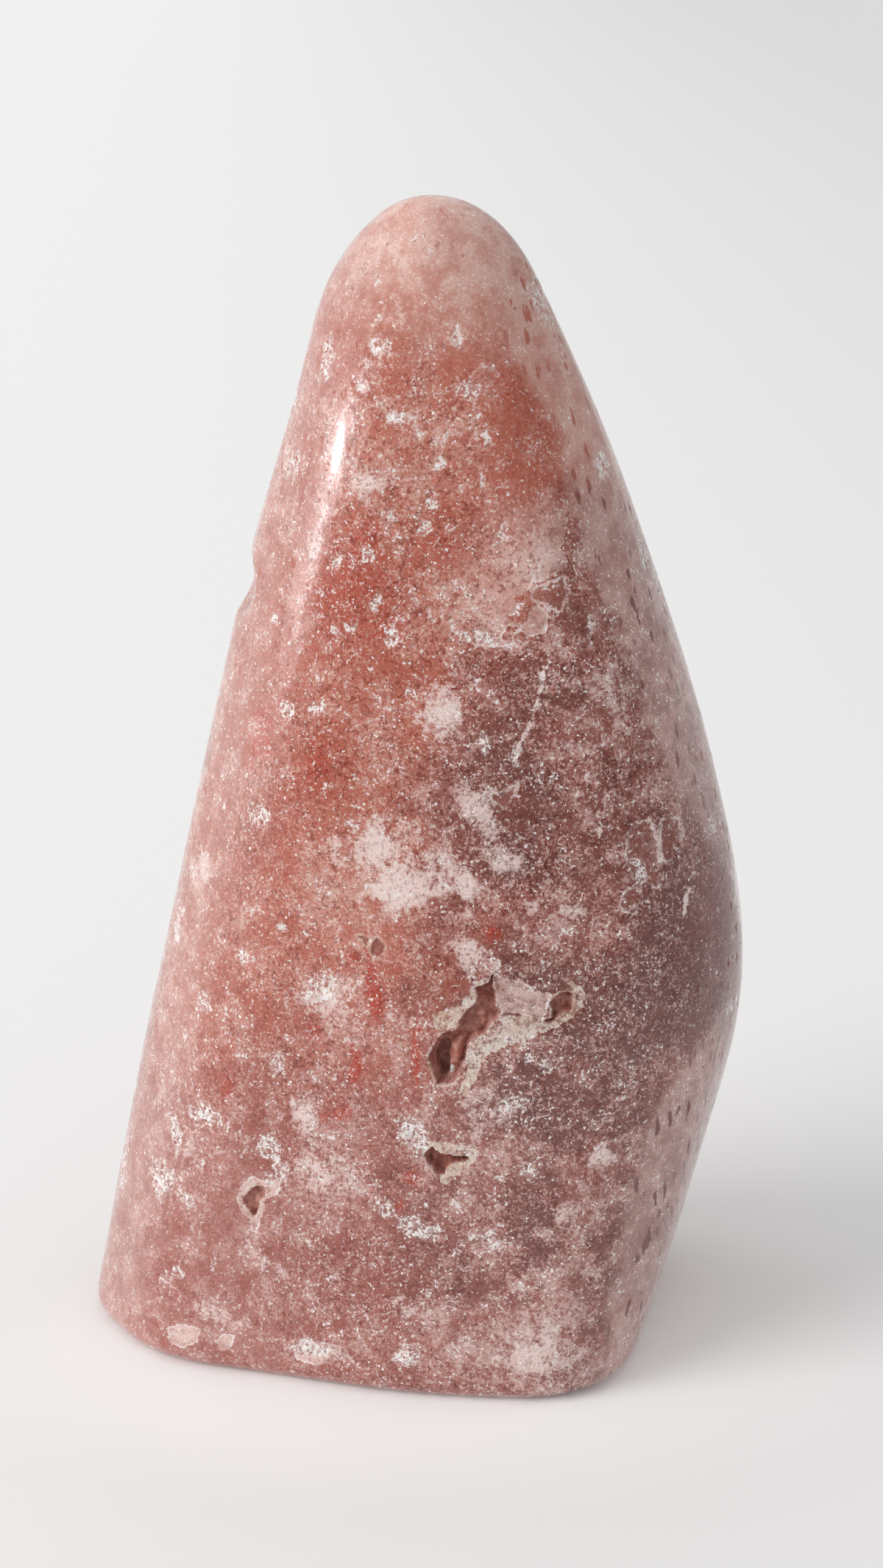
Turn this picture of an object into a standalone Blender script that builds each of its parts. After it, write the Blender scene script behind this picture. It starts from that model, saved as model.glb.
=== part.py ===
"""Pink amethyst freeform: one polished stone with a flat foot and a few small open vugs.

The body is a closed set of hand-ground facets. Each facet is a plane, and neighbours meet over
a soft edge, so the stone is the zero level of one field. Rays from an axis inside it find the
surface. Units are metres, +Z is up, -Y is the front, and the origin lies on the resting plane
under the middle of the stone's box.
"""

import math

import bpy
import numpy as np
from mathutils import Matrix, Vector

# Facets: turn from the front towards +X in degrees, lean upwards in degrees, and the reach of
# the facet's plane from the origin.
FACETS = {
    "front_left": (-16, 4.0, 0.0198),
    "front_right": (19, 5.5, 0.0295),
    "left_edge": (-91, 6.5, 0.0377),
    "left_side": (-60, 11.0, 0.0298),
    "right_high": (65, 21.0, 0.0515),
    "right_mid": (70, 11.0, 0.0419),
    "bulge": (58, -0.5, 0.0317),
    "under_bulge": (59, -7.0, 0.0272),
    "undercut": (83, -16.0, 0.0234),
    "back_left": (-142, 7.5, 0.0253),
    "back": (176, 10.5, 0.0215),
    "back_right": (130, 8.0, 0.0342),
    "crown": (-58, 74.5, 0.1197),
}

# How far each soft edge spreads over the facets on its two sides.
FRONT_EDGE = 0.014
LEFT_SIDE_EDGE = 0.006
LEFT_RIDGE = 0.0045
RIGHT_EDGE = 0.007
RIGHT_SIDE_EDGE = 0.008
UNDERCUT_EDGE = 0.004
UNDERCUT_TO_SIDE = 0.005
BULGE_LIP = 0.0016
BACK_EDGE = 0.009
CROWN_EDGE = 0.017
FOOT_EDGE_RADIUS = 0.0022

# Unevenness of the hand grinding: wavelength and direction of each slow wave.
WAVE_HEIGHT = 0.00005
WAVES = (
    (0.031, (0.8, 0.3, 0.5)),
    (0.023, (-0.3, 0.6, 0.75)),
    (0.017, (0.55, -0.7, 0.45)),
)

# The conchoidal chip on the left silhouette.
CHIP_CENTRE = (-0.0169, -0.0008, 0.0789)
CHIP_RADII = (0.0019, 0.0050, 0.0030)
CHIP_EDGE = 0.0006

# The axis that the surface is measured from, and the shoulder where the rings turn into a dome.
AXIS_FOOT = (-0.0005, 0.0005, 0.0)
AXIS_SHOULDER = (0.0028, -0.0043, 0.100)
STEPS_AROUND = 76
STEPS_FOOT_EDGE = 4
STEPS_UP = 38
STEPS_DOME = 8
LONGEST_RAY = 0.060

# Vugs on the front: outline as (right, up) from its centre, where the centre is (x, z).
MAIN_VUG_CENTRE = (0.0056, 0.0392)
MAIN_VUG_OUTLINE = (
    (0.0023, 0.0054),
    (0.0025, 0.0034),
    (0.0030, 0.0015),
    (0.0019, 0.0000),
    (0.0004, -0.0011),
    (-0.0004, -0.0033),
    (-0.0013, -0.0057),
    (-0.0032, -0.0061),
    (-0.0040, -0.0031),
    (-0.0026, -0.0007),
    (-0.0010, 0.0005),
    (0.0007, 0.0028),
)
DEEP_LOBE_OUTLINE = (
    (-0.0026, -0.0007),
    (-0.0010, -0.0012),
    (-0.0004, -0.0033),
    (-0.0013, -0.0057),
    (-0.0032, -0.0061),
    (-0.0040, -0.0031),
)
SIDE_VUG_CENTRE = (0.0141, 0.0410)
SIDE_VUG_OUTLINE = (
    (-0.0008, 0.0007),
    (0.0002, 0.0016),
    (0.0014, 0.0018),
    (0.0014, -0.0001),
    (0.0002, -0.0006),
    (-0.0014, -0.0012),
    (-0.0006, -0.0004),
)
LOWER_VUG_CENTRE = (0.0033, 0.0252)
LOWER_VUG_OUTLINE = (
    (-0.0013, 0.0014),
    (-0.0003, 0.0007),
    (0.0019, 0.0008),
    (0.0024, 0.0002),
    (0.0005, -0.0003),
    (-0.0003, -0.0016),
    (-0.0009, -0.0014),
    (-0.0021, 0.0004),
)
ROUND_PIT_OUTLINE = tuple(
    (0.0010 * reach * math.cos(math.radians(angle)), 0.0010 * reach * math.sin(math.radians(angle)))
    for angle, reach in ((10, 1.0), (60, 1.3), (115, 0.9), (170, 1.1), (225, 0.9), (290, 1.2))
)
# name: centre, outline, depth, and how wide the floor is against the mouth
VUGS = {
    "main_vug": (MAIN_VUG_CENTRE, MAIN_VUG_OUTLINE, 0.0017, 0.80),
    "main_vug_deep_lobe": (MAIN_VUG_CENTRE, DEEP_LOBE_OUTLINE, 0.0042, 0.85),
    "side_vug": (SIDE_VUG_CENTRE, SIDE_VUG_OUTLINE, 0.0014, 0.70),
    "lower_vug": (LOWER_VUG_CENTRE, LOWER_VUG_OUTLINE, 0.0016, 0.70),
    "rimmed_pit": ((-0.0159, 0.0185), ROUND_PIT_OUTLINE, 0.0010, 0.60),
    "upper_pit": ((-0.0034, 0.0465), ROUND_PIT_OUTLINE, 0.0008, 0.60),
}
# A cutter's mouth stands above the surface and is a little wider there. Its wall goes down to a
# share of the depth, where it is this wide against the mouth, and then slopes to the floor.
CUTTER_ABOVE_SURFACE = 0.0006
CUTTER_TOP_WIDTH = 1.06
CUTTER_WALL_DEPTH = 0.70
CUTTER_WALL_WIDTH = 0.92

# How finely the surface is found: halvings of the longest ray, and the step that the field's
# slope is measured over.
HALVINGS = 40
SLOPE_STEP = 0.00001

STONE_COLOUR = (0.45, 0.17, 0.13, 1.0)
STONE_ROUGHNESS = 0.18


def facet_normal(turn, lean):
    turn, lean = math.radians(turn), math.radians(lean)
    return np.array(
        (math.sin(turn) * math.cos(lean), -math.cos(turn) * math.cos(lean), math.sin(lean))
    )


def soft_max(a, b, width):
    """The larger of two distances, rounded where they are within width of each other."""
    overlap = np.maximum(width - np.abs(a - b), 0.0) / width
    return np.maximum(a, b) + overlap**2 * width / 4


def grinding_waves(points):
    total = np.zeros(points.shape[:-1])
    for length, direction in WAVES:
        total += np.sin(points @ np.array(direction) * math.tau / length)
    return total * WAVE_HEIGHT


def chip_depth(points):
    """Signed distance to the chip's bite, negative inside it."""
    scaled = (points - np.array(CHIP_CENTRE)) / np.array(CHIP_RADII)
    return (np.linalg.norm(scaled, axis=-1) - 1) * min(CHIP_RADII)


def stone_field(points):
    """Signed distance to the ground body, negative inside. The foot is cut by the rings."""
    side = {
        name: points @ facet_normal(turn, lean) - reach
        for name, (turn, lean, reach) in FACETS.items()
    }
    front = soft_max(side["front_left"], side["front_right"], FRONT_EDGE)
    left = soft_max(side["left_edge"], side["left_side"], LEFT_SIDE_EDGE)
    upper_right = soft_max(side["right_high"], side["right_mid"], RIGHT_SIDE_EDGE)
    lower_right = soft_max(side["undercut"], side["under_bulge"], UNDERCUT_EDGE)
    right = soft_max(upper_right, lower_right, UNDERCUT_TO_SIDE)
    right = soft_max(right, side["bulge"], BULGE_LIP)
    back = soft_max(side["back"], side["back_left"], BACK_EDGE)
    back = soft_max(back, side["back_right"], BACK_EDGE)
    body = soft_max(front, left, LEFT_RIDGE)
    body = soft_max(body, right, RIGHT_EDGE)
    body = soft_max(body, back, BACK_EDGE)
    body = soft_max(body, side["crown"], CROWN_EDGE)
    return soft_max(body + grinding_waves(points), -chip_depth(points), CHIP_EDGE)


def surface_along(origin, directions, level=0.0):
    """Where rays from a point inside meet the field's level, found by halving."""
    near = np.zeros(len(directions))
    far = np.full(len(directions), LONGEST_RAY)
    for _ in range(HALVINGS):
        middle = (near + far) / 2
        inside = stone_field(origin + directions * middle[:, None]) < level
        near = np.where(inside, middle, near)
        far = np.where(inside, far, middle)
    return origin + directions * near[:, None]


def axis_at(height):
    foot, shoulder = np.array(AXIS_FOOT), np.array(AXIS_SHOULDER)
    return foot + (shoulder - foot) * height / shoulder[2]


def stone_rings():
    """Rings of points from the foot to the last one under the apex."""
    around = np.linspace(0.0, math.tau, STEPS_AROUND, endpoint=False)
    flat = np.stack([np.cos(around), np.sin(around), np.zeros(STEPS_AROUND)], axis=-1)
    rings = []
    for angle in np.linspace(0.0, math.pi / 2, STEPS_FOOT_EDGE, endpoint=False):
        height = FOOT_EDGE_RADIUS * (1 - math.cos(angle))
        level = -FOOT_EDGE_RADIUS * (1 - math.sin(angle))
        rings.append(surface_along(axis_at(height), flat, level))
    for height in np.linspace(FOOT_EDGE_RADIUS, AXIS_SHOULDER[2], STEPS_UP):
        rings.append(surface_along(axis_at(height), flat))
    for rise in np.linspace(0.0, math.pi / 2, STEPS_DOME + 1)[1:-1]:
        upward = np.array((0.0, 0.0, math.sin(rise)))
        rings.append(surface_along(np.array(AXIS_SHOULDER), flat * math.cos(rise) + upward))
    return rings


def stone_mesh():
    rings = stone_rings()
    apex = surface_along(np.array(AXIS_SHOULDER), np.array([[0.0, 0.0, 1.0]]))
    points = np.concatenate([*rings, apex])
    middle = (points.min(axis=0) + points.max(axis=0)) / 2
    points -= (middle[0], middle[1], 0.0)
    faces = [tuple(reversed(range(STEPS_AROUND)))]
    for ring in range(len(rings) - 1):
        low, high = ring * STEPS_AROUND, (ring + 1) * STEPS_AROUND
        for i in range(STEPS_AROUND):
            j = (i + 1) % STEPS_AROUND
            faces.append((low + i, low + j, high + j, high + i))
    last, tip = (len(rings) - 1) * STEPS_AROUND, len(points) - 1
    faces += [(last + i, last + (i + 1) % STEPS_AROUND, tip) for i in range(STEPS_AROUND)]
    mesh = bpy.data.meshes.new("stone")
    mesh.from_pydata(points.tolist(), [], faces)
    mesh.shade_smooth()
    return mesh


def front_frame(x, z):
    """A frame on the front surface at (x, z): right, up and outwards, as a matrix."""
    start = np.array(axis_at(z))
    start[0] = x
    point = surface_along(start, np.array([[0.0, -1.0, 0.0]]))[0]
    steps = SLOPE_STEP * np.eye(3)
    slope = stone_field(point + steps) - stone_field(point - steps)
    outward = Vector(slope).normalized()
    right = Vector((0.0, 0.0, 1.0)).cross(outward).normalized()
    up = outward.cross(right)
    frame = Matrix((right, up, outward)).transposed().to_4x4()
    frame.translation = Vector(point)
    return frame


def vug_cutter(name, centre, outline, depth, floor_width):
    """A closed plug that narrows from just above the surface to the vug's floor."""
    middle = np.mean(outline, axis=0)
    levels = (
        (CUTTER_ABOVE_SURFACE, CUTTER_TOP_WIDTH),
        (0.0, 1.0),
        (-depth * CUTTER_WALL_DEPTH, CUTTER_WALL_WIDTH),
        (-depth, floor_width),
    )
    rings = [
        [(*(middle + (np.array(corner) - middle) * scale), height) for corner in outline]
        for height, scale in levels
    ]
    count = len(outline)
    faces = [tuple(range(count)), tuple(range(4 * count - 1, 3 * count - 1, -1))]
    for ring in range(len(levels) - 1):
        high, low = ring * count, (ring + 1) * count
        for i in range(count):
            j = (i + 1) % count
            faces.append((high + i, low + i, low + j, high + j))
    signed_area = sum(
        a[0] * b[1] - b[0] * a[1] for a, b in zip(outline, outline[1:] + outline[:1])
    )
    if signed_area < 0:
        faces = [face[::-1] for face in faces]
    mesh = bpy.data.meshes.new(name)
    mesh.from_pydata([point for ring in rings for point in ring], [], faces)
    cutter = bpy.data.objects.new(name, mesh)
    cutter.matrix_world = front_frame(*centre)
    cutter.hide_render = True
    cutter.display_type = "WIRE"
    bpy.context.scene.collection.objects.link(cutter)
    return cutter


def stone_material():
    material = bpy.data.materials.new("pink amethyst")
    material.use_nodes = True
    shader = material.node_tree.nodes["Principled BSDF"]
    shader.inputs["Base Color"].default_value = STONE_COLOUR
    shader.inputs["Roughness"].default_value = STONE_ROUGHNESS
    shader.inputs["Metallic"].default_value = 0.0
    return material


def main():
    for obj in list(bpy.data.objects):
        bpy.data.objects.remove(obj)
    stone = bpy.data.objects.new("stone", stone_mesh())
    stone.data.materials.append(stone_material())
    bpy.context.scene.collection.objects.link(stone)
    for name, (centre, outline, depth, floor_width) in VUGS.items():
        cut = stone.modifiers.new(name, "BOOLEAN")
        cut.operation = "DIFFERENCE"
        cut.solver = "EXACT"
        cut.object = vug_cutter(name, centre, outline, depth, floor_width)


main()
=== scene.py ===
"""Looks of the pink amethyst freeform: the polished stone with its vugs, druzy crystals, frosty
patches, iron stains and polish pits, with painted sheen, glints, glow and shade laid into its
colour, on a white studio floor.

The ground facets are the same field as in the CAD part. All positions are in the CAD frame:
the origin under the middle of the stone's box, +Z up, -Y the front. Tables of markings are in
millimetres, everything else is in metres.
"""

import math

import bmesh
import bpy
import numpy as np
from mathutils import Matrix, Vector, noise


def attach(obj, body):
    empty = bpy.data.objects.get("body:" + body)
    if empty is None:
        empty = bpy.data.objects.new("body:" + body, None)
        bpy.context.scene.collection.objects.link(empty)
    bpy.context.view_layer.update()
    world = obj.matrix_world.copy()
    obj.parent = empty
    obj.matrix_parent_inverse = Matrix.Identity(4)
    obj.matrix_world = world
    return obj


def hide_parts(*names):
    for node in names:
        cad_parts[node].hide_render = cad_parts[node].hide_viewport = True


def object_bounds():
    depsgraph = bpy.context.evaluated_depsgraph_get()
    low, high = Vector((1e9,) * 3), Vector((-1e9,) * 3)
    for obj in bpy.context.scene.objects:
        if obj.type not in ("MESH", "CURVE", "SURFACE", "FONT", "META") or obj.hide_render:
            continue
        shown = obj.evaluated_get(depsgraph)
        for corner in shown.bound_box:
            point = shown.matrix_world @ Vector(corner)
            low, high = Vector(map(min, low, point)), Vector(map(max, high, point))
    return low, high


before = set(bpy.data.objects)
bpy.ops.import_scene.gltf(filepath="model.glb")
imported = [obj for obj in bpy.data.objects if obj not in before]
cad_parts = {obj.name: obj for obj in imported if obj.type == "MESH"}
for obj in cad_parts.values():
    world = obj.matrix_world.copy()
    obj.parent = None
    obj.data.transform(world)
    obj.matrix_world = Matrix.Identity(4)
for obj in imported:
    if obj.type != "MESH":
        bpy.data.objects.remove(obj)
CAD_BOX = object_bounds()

MM = 0.001

# == Shape: the ground body, as in the CAD part ==

# Facets: turn from the front towards +X in degrees, lean upwards in degrees, reach in metres.
FACETS = {
    "front_left": (-16, 4.0, 0.0198),
    "front_right": (19, 5.5, 0.0295),
    "left_edge": (-91, 6.5, 0.0377),
    "left_side": (-60, 11.0, 0.0298),
    "right_high": (65, 21.0, 0.0515),
    "right_mid": (70, 11.0, 0.0419),
    "bulge": (58, -0.5, 0.0317),
    "under_bulge": (59, -7.0, 0.0272),
    "undercut": (83, -16.0, 0.0234),
    "back_left": (-142, 7.5, 0.0253),
    "back": (176, 10.5, 0.0215),
    "back_right": (130, 8.0, 0.0342),
    "crown": (-58, 74.5, 0.1197),
}
FRONT_EDGE = 0.014
LEFT_SIDE_EDGE = 0.006
LEFT_RIDGE = 0.0045
RIGHT_EDGE = 0.007
RIGHT_SIDE_EDGE = 0.008
UNDERCUT_EDGE = 0.004
UNDERCUT_TO_SIDE = 0.005
BULGE_LIP = 0.0016
BACK_EDGE = 0.009
CROWN_EDGE = 0.017
FOOT_EDGE_RADIUS = 0.0022
WAVE_HEIGHT = 0.00005
WAVES = (
    (0.031, (0.8, 0.3, 0.5)),
    (0.023, (-0.3, 0.6, 0.75)),
    (0.017, (0.55, -0.7, 0.45)),
)
CHIP_CENTRE = (-0.0169, -0.0008, 0.0789)
CHIP_RADII = (0.0019, 0.0050, 0.0030)
CHIP_EDGE = 0.0006
AXIS_FOOT = np.array((-0.0005, 0.0005, 0.0))
AXIS_SHOULDER = np.array((0.0028, -0.0043, 0.100))
LONGEST_RAY = 0.060
HALVINGS = 30

# The even mesh, before it is refined round the vugs and crusts.
STEPS_AROUND = 264
STEPS_FOOT_EDGE = 6
STEPS_UP = 150
STEPS_DOME = 32
# Each refinement: how deep in a vug it starts and how far from a crisp edge it goes, in mm, and
# how far from a cluster's middle, as a share of its size.
REFINEMENTS = ((-1.5, 0.8, 1.15), (-0.8, 0.3, 0.85), (-0.25, 0.0, 0.0))
FRONT_LIMIT = -0.004  # vertices with a smaller y are on the front, where the vugs are


def rows(text):
    """Rows of numbers, with a comma between one row and the next."""
    return tuple(tuple(map(float, row.split())) for row in text.split(","))


# Open vugs: how deep in mm, and the outline on the front as x and z in mm.
VUGS = {
    "main": (1.7, rows(
        "7.9 44.6, 7.8 43.6, 8.1 42.6, 8.2 41.4, 8.7 40.7, 8.3 39.9, 7.5 39.2, 7.1 38.4, 6 38.1, "
        "5.4 37, 5.2 35.9, 4.7 34.7, 4.3 33.5, 2.5 33.1, 2 34.5, 1.6 36.1, 2.5 37.8, 3 38.5, "
        "4.4 38.8, 4.6 39.7, 5.2 40.7, 6.2 41.6, 6.3 42.4, 6 43.1, 7.4 43.7"
    )),
    "deep_lobe": (3, rows(
        "4 37.6, 3.7 36.2, 3.9 34.9, 3.5 33.6, 2.6 33.4, 2.2 34.6, 1.9 36.1, 2.7 37.5"
    )),
    "side": (1.4, rows(
        "13.2 41.7, 14.2 42.7, 15.5 42.8, 15.6 41.7, 15.5 40.9, 14.3 40.4, 13.8 39.9, 12.9 39.7, "
        "12.7 39.9, 13.5 40.3, 13.5 41"
    )),
    "lower": (1.5, rows(
        "2 26.7, 2.7 26.1, 4.8 25.9, 5.2 26, 5.7 25.8, 5.6 25.5, 4.5 25.2, 3.8 24.9, 3.4 24.5, "
        "3.3 24, 3 23.7, 2.4 23.9, 2 24.5, 1.4 25.1, 1.2 25.8, 1.6 26.5"
    )),
    "rimmed_pit": (0.9, rows(
        "-17 18.8, -16.4 20, -15.6 20.8, -14.8 20.7, -14.5 20, -15 19.3, -15.3 18.1, -15.8 17.3, "
        "-16.2 17.9, -16.6 18.4"
    )),
    "crescent": (0.25, rows("-5.2 47.5, -4.7 47.7, -4.1 47.3, -4.2 46.5, -4.6 46.9")),
    "round_pit": (0.35, rows("-3.9 47, -3.3 47.5, -2.6 47.1, -2.5 46.2, -3.2 45.5, -3.8 45.9")),
}
VUG_RAGGEDNESS = 0.14  # mm, how far a rim strays from its outline
VUG_WALL = 0.20  # mm, width of the steep wall, seen from in front
# Single quartz crystals standing in the vugs: x, z, half width, half height, turn, rise in mm.
VUG_CRYSTALS = ((4.3, 36.2, 0.8, 1.9, -12, 1.5), (6.6, 40.4, 0.6, 1.0, 30, 0.6))
DRUZE_SPACING = 0.85  # mm between the quartz points on a vug's floor
DRUZE_HEIGHT = 0.70  # mm that the quartz points stand up from the floor

# Thin crusts with a crisp ragged edge: outlines on the front as x and z in mm.
CRUSTS = {
    "left_rim": rows(
        "2.1 38.9, 2 40.2, 3.2 40.9, 4.7 41.5, 5.6 42.9, 7.2 44.3, 7.8 44.2, 7.4 43.2, 6.5 42.1, "
        "5.5 40.7, 4.3 39.4, 3 38.6"
    ),
    "right_arm": rows(
        "5.7 37.9, 7.2 38.5, 8 39.4, 9.3 40.5, 11.4 40.4, 12.9 39.6, 14.3 40.5, 15.5 41, 16.1 42, "
        "15.8 43, 15.1 43.5, 15.3 43.9, 16.4 43.2, 16.8 42.2, 16.4 41, 14.9 39.7, 13.1 38.8, "
        "11.3 38, 9.1 37.3, 7.7 36.5, 6.8 35.5, 6.3 34, 5.2 32, 4.4 32.2, 5.3 34.7, 5.5 36.5"
    ),
    "lower": rows(
        "1 27, 2.5 27.4, 4.5 27.2, 6.2 27.1, 6.5 26, 6 25.1, 5 24.6, 4.5 23.6, 3.5 22.7, 2.8 23, "
        "2.5 23.8, 1.2 25.4, 1 26.5"
    ),
}
# Flakes: where each is palest as x and z, how far from there it fades out, and its outline.
FLAKES = {
    "platform": ((10.5, 42.0, 9.0), rows(
        "8 44.7, 9.2 44, 10.7 43.9, 11.9 42.9, 13.5 42.6, 13.1 41, 12.6 39.8, 10 40.7, 8.7 40.5, "
        "8.3 41.6, 7.8 42.9"
    )),
    "shoulder": ((12.2, 80.6, 11.5), rows(
        "13.4 89.7, 14.7 88.1, 14.5 86.8, 14.4 85.8, 14 85.3, 14.4 84.7, 14.8 84, 14.7 83.2, "
        "13.7 83, 13.1 82.7, 12.4 82.4, 11.8 82.3, 11.4 82.5, 11.2 82, 11 81.5, 10.4 81, "
        "9.6 80.8, 10.3 80.3, 9.9 79.7, 9.5 79.3, 9.1 78.9, 9.7 78.6, 10.4 78.4, 10.8 78.8, "
        "11 79.7, 11.4 80.2, 12.3 80, 13 79.1, 12.8 78, 12.4 77.4, 11.6 77.3, 10.9 77, 10.5 77.6, "
        "10 78, 9.2 78.1, 8.7 77.6, 8.5 77, 9.3 76.3, 8 76.2, 6.8 76.2, 5.8 76.4, 4.9 77, 3 77.8, "
        "0.5 79.5, -1 83, 1 90, 6 94, 11 93.5"
    )),
    "pit_lace": ((-15.5, 19.5, 9.0), rows(
        "-17.5 19, -17 20.5, -15.8 21.8, -14.4 21.3, -12.9 22, -13.1 20.3, -14.4 19.4, "
        "-14.8 17.9, -15.5 15.7, -16.1 15.9, -16.3 17.2, -17.2 17.8"
    )),
    "foot_left": ((-23.0, 3.5, 3.0), rows(
        "-24.9 3.8, -23.5 4.7, -21.4 4.5, -21.8 2.9, -23.6 2, -24.7 2.5"
    )),
    "foot_middle": ((-19.0, 3.5, 2.5), rows(
        "-19.9 3.5, -18.9 4.5, -17.9 4.3, -18.5 2.6, -19.5 2.2"
    )),
    "foot_right": ((-10.5, 4.2, 5.0), rows(
        "-12 4.2, -9.6 5.1, -6.1 4.8, -6.6 3.3, -9.6 2.4, -11.7 2.8"
    )),
}
# Dark clear panes in the frosty stone, each with a lacy white edge, in the same way.
PANES = {
    "high": rows(
        "20.7 58.1, 21.4 59, 22.5 59.1, 23.1 58.1, 23.4 56.8, 23.6 55.2, 23.8 53.2, 23.5 52.5, "
        "22.9 52.9, 22.1 53.5, 21.3 53.7, 20.8 54.9, 20.5 56.5"
    ),
    "beside": rows(
        "23.9 58.9, 24.7 59, 25.6 58.4, 26 57.1, 25.8 55.9, 25.2 55.1, 24.4 54.8, 24 56, 23.9 57.4"
    ),
    "low": rows(
        "20.2 52, 20.8 52.7, 21.7 52.7, 22 52.1, 21.6 51.4, 20.9 50.7, 20.4 50.5, 20 51.2"
    ),
    "middle": rows(
        "7.3 62.5, 8.4 62.1, 9.3 62.5, 10.1 63.3, 9.9 62.5, 9.5 61.7, 9 60.9, 8.1 61.2"
    ),
    "shoulder": rows(
        "11.2 81.4, 12.6 82, 14.2 82.6, 14.8 81.2, 14.2 79.6, 13.2 79.8, 12.3 80.4, 11.4 80.6"
    ),
}
CRUST_STEP = 0.07  # mm that a crust, flake or pane stands lower than the polish round it

# The patches below are x, z, half width and half height in mm, and where they aren't 0 and 1 the
# turn in degrees and the strength. Patches of frost, and in the two at about x -7 and z 86 to 94 a
# painted glow round the highlight of the left ridge:
CLOUDS_AND_GLOW = rows(
    "3.2 70 1.9 3.1, 5.9 60.9 1.3 3.2 36, -0.4 52.9 5 3 12, -3.3 56.5 3.6 2.6 20 0.8, "
    "5.3 52.7 1 2.2 0 0.9, 9.1 55.6 2.2 1.4 -20 0.8, -3 59.3 2.5 1.2 10 0.6, "
    "-7.2 56 1.3 2.2 0 0.6, 11.2 51.2 1.1 0.9 0 0.7, 15.5 50.9 1.7 1 0 0.7, "
    "5.4 47.1 2.7 1.1 -20 0.75, 14.7 20.2 1.9 1.2 20 0.75, 18.1 26 1.9 1.4 0 0.7, "
    "17.6 13.7 1.5 1.3 0 0.6, -3.8 91.2 2.5 1.2 10 0.6, -8 41 3.4 3.4 0 0.65, "
    "-10.8 28.9 1.6 1.7 0 0.95, -7.9 23.3 3.4 2.3 0 0.5, 12.7 5.8 4.8 3.4 0 0.75, "
    "11.4 11.3 1.2 2.2 0 0.5, 19.2 70.9 3.3 2.9 0 0.5, -2.1 112.8 2.5 1.5 0 0.6, "
    "-0.6 111.4 1.8 1.3 0 0.6, -4.1 100.8 2.1 1.9 0 0.6, 23.3 55.8 1.9 4.2 10 0.4, "
    "0 9.6 2.9 1.6 0 0.4, 7.2 30.6 4.3 2.2 0 0.5, -19.3 6.1 4.5 1.3 -15 0.6, "
    "-8.8 3.9 3.3 1.1 -10 0.7, 1.9 68.2 1.7 2.1 0 0.5, -22.5 23.1 3.2 1.8 0 0.35, "
    "-15.2 66.5 2.3 1.4 0 0.3, -6.7 94 2.4 4.2 0 0.42, -8.6 86 1.3 6.5 -8 0.45, "
    "-4.6 100.5 2.4 2.2 0 0.35, -1.3 107.4 1.7 1.9 0 0.45, -1.4 97.2 2 1 0 0.4, "
    "5.2 100.3 1.5 1.3 0 0.4, 4.5 104.6 1.2 1.3 0 0.4, -2.6 103.9 2 1.1 0 0.5, "
    "3.4 95.7 1.8 1.2 0 0.3, -9.5 22.8 3 2.6 20 0.6, 6.5 28.6 1.3 1.2 0 0.6, "
    "14.9 20 1.6 1.2 0 0.7, -14.5 13.2 3 1.5 -40 0.4, 5.6 46.6 3.4 1.5 -20 0.8"
)
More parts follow.
